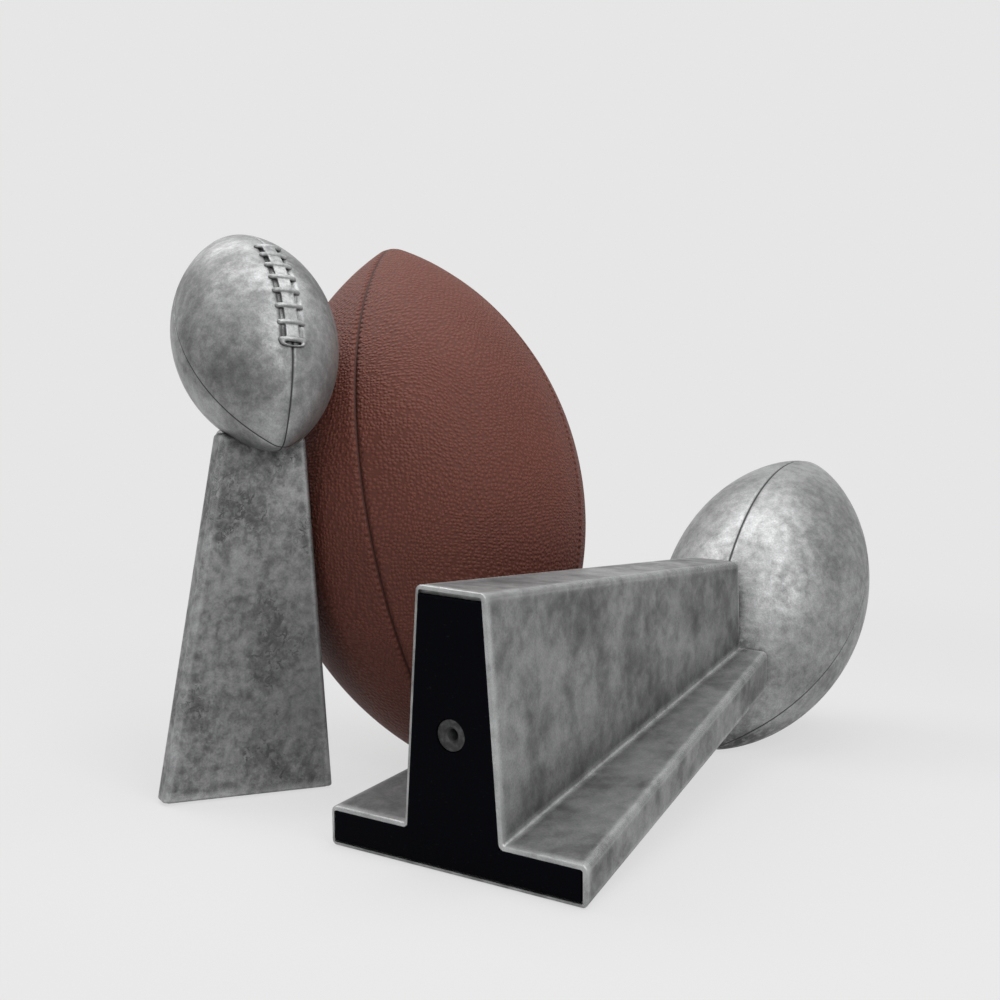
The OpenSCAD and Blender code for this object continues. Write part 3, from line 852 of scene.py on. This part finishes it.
PEDESTAL_SILVER = {
    "small": silver_material(
        "small pedestal silver", 0.33, 0.1, wear_and_highlight=0.5, rough=0.48, Dab_Size=230.0, Cloud_Size=34.0,
        Cloud_Share=0.45, Softness=0.2, Flecks=1.0, Recess=0.02),
    "large": silver_material(
        "large pedestal silver", 0.31, 0.075, wear_and_highlight=0.7, rough=0.44, Dab_Size=110.0, Cloud_Size=32.0,
        Cloud_Share=0.6, Softness=0.24, Flecks=0.5, Recess=0.014)}
BALL_SILVER = {
    "small": silver_material(
        "small ball silver", 0.38, 0.12, seams=True, Dab_Size=220.0, Cloud_Size=26.0,
        Cloud_Share=0.7, Softness=0.19, Flecks=0.5, Recess=0.012),
    "large": silver_material(
        "large ball silver", 0.4, 0.13, seams=True, Dab_Size=200.0, Cloud_Size=22.0,
        Cloud_Share=0.6, Softness=0.26, Flecks=0.5, Recess=0.026)}
LACE_SILVER = silver_material(
    "cast lace silver", 0.38, 0.2, rough=0.44, Dab_Size=300.0, Cloud_Size=60.0,
    Cloud_Share=0.5, Softness=0.2, Flecks=0.2, Recess=0.002)
# the second colour is the painted shade in the creases between the pebbles
LEATHER = leather_material("brown leather", (0.15, 0.049, 0.035, 1), (0.052, 0.016, 0.012, 1))
BLACK_PAD = pad_material("black pad")
DULL_STEEL = steel_material("dull steel", 0.085, 0.42)
STUD_STEEL = steel_material("stud steel", 0.3, 0.35)
PALE_LACE = lace_material("pale lace")
TAN_FABRIC = fabric_material("tan fabric")
BLACK_RUBBER = rubber_material("black rubber", 0.012)

# ---- the stands

for size, (place, k) in STANDS.items():
    to_set = MILLIMETRES @ place
    column = pedestal(size + "_stand_column", k)
    move_mesh(column, to_set)
    smooth_at(column, 40)
    add_modifier(column, "even shading", "WEIGHTED_NORMAL", keep_sharp=True)
    ball = trophy_ball(size + "_stand_ball", k)
    move_mesh(ball, to_set)
    bpy.ops.object.shade_smooth()
    laces = trophy_laces(size + "_stand_laces", k)
    move_mesh(laces, to_set)
    bpy.ops.object.shade_smooth()
    pad = foot_pad(size + "_stand_pad", k)
    move_mesh(pad, to_set)
    smooth_at(pad, 30)
    bush = threaded_insert(size + "_stand_insert", k)
    move_mesh(bush, to_set)
    smooth_at(bush, 30)
    for piece, node, slot, material in (
            (column, "_pedestal", "silver_casting", PEDESTAL_SILVER[size]),
            (ball, "_trophy_ball", "silver_ball", BALL_SILVER[size]),
            (pad, "_foot_pad", "base_pad", BLACK_PAD),
            (bush, "_threaded_insert", "hardware", DULL_STEEL),
            (laces, None, "silver_ball", LACE_SILVER)):
        dress(piece, material)
        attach(piece, size + "_stand")
        if node:
            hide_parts(size + node)
    dress(nodes[size + "_ball_stud"], STUD_STEEL)

# ---- the leather football

ball_to_set = MILLIMETRES @ football_place()
for i, panel in enumerate(leather_panels()):
    move_mesh(panel, ball_to_set)
    smooth_at(panel, 60)
    dress(panel, LEATHER)
    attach(panel, "football")
    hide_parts("football_panel_%d" % (i + 1))
lacing = football_lacing("football_lacing")
move_mesh(lacing, ball_to_set)
smooth_at(lacing, 40)
dress(lacing, PALE_LACE)
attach(lacing, "football")
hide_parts("football_lace")
for i in range(1, 5):
    dress(nodes["football_lining_%d" % i], TAN_FABRIC)
dress(nodes["football_bladder"], BLACK_RUBBER)
dress(nodes["football_valve"], BLACK_RUBBER)

# ---- floor, backdrop, light and camera

PALE = (0.791, 0.791, 0.791, 1)
FLOOR_SIZE, FLOOR_GAP = 60, 0.0004
# how much of the world's own light falls on the set, beside the softboxes
DIM = 0.12


def shown_bare(tree):
    """1 where the camera or a reflection sees the surface, and 0 where it lights the set."""
    path = add_node(tree, "LightPath").outputs
    return math_node(tree, "MAXIMUM", path["Is Camera Ray"], path["Is Glossy Ray"])


def mix_shaders(tree, share, first, second, surface):
    mix = add_node(tree, "MixShader")
    tree.links.new(share, mix.inputs["Fac"])
    tree.links.new(first, mix.inputs[1])
    tree.links.new(second, mix.inputs[2])
    tree.links.new(mix.outputs["Shader"], surface)


def pale_paper():
    """Paper that glows evenly far from the set, and takes some of its shadow near it."""
    paper, tree, shader = new_material("pale paper", Base_Color=PALE, Roughness=1.0, Specular_IOR_Level=0.0)
    glow = add_node(tree, "Emission", Color=PALE)
    away = add_node(tree, "VectorMath", operation="LENGTH")
    tree.links.new(add_node(tree, "TexCoord").outputs["Object"], away.inputs[0])
    even = ramp_between(tree, away.outputs["Value"], 0.25, 0.9, 0.8, 1.0)
    share = math_node(tree, "MULTIPLY", shown_bare(tree), even)
    mix_shaders(tree, share, shader.outputs["BSDF"], glow.outputs["Emission"],
                tree.nodes["Material Output"].inputs["Surface"])
    return paper


deselect()
bpy.ops.mesh.primitive_plane_add(size=FLOOR_SIZE, location=(0, 0, -FLOOR_GAP))
ground = started("pale_floor")
dress(ground, pale_paper())

world = bpy.data.worlds.new("studio")
bpy.context.scene.world = world
world.use_nodes = True
tree = world.node_tree
dim = tree.nodes["Background"]
dim.inputs["Color"].default_value = PALE
dim.inputs["Strength"].default_value = DIM
pale = add_node(tree, "Background", Color=PALE)
mix_shaders(tree, shown_bare(tree), dim.outputs["Background"], pale.outputs["Background"],
            tree.nodes["World Output"].inputs["Surface"])


def softbox(name, location, aim, size, power):
    light = bpy.data.lights.new(name, "AREA")
    light.shape = "RECTANGLE"
    light.size, light.size_y = size
    light.energy = power
    lamp = bpy.data.objects.new(name, light)
    bpy.context.scene.collection.objects.link(lamp)
    lamp.location = location
    lamp.rotation_euler = (Vector(aim) - Vector(location)).to_track_quat("-Z", "Y").to_euler()


softbox("softbox behind left", (-0.8, 0.3, 1.15), (-0.1, 0, 0.15), (0.8, 0.8), 9)
softbox("softbox low left", (-0.85, -1.05, 0.45), (-0.1, 0, 0.15), (0.6, 0.6), 0.7)
softbox("softbox right", (0.6, -0.9, 0.95), (0.05, 0, 0.12), (0.7, 0.7), 9)
softbox("softbox above", (0.1, 0.0, 1.4), (0, 0, 0.1), (1.1, 1.1), 11)

LENS, SENSOR, SHIFT = 52.94, 36, (-0.0856, -0.1243)
# the camera looks level along +Y, rolled a little
CAMERA_PLACE, CAMERA_ROLL = (0.01361, -0.75887, 0.2065), -3.08

camera_data = bpy.data.cameras.new("camera")
camera_data.lens = LENS
camera_data.sensor_width = SENSOR
camera_data.shift_x, camera_data.shift_y = SHIFT
camera = bpy.data.objects.new("camera", camera_data)
camera.location = CAMERA_PLACE
camera.rotation_euler = (radians(90), radians(CAMERA_ROLL), 0)
bpy.context.scene.collection.objects.link(camera)
bpy.context.scene.camera = camera
bpy.context.scene.view_settings.view_transform = "Standard"
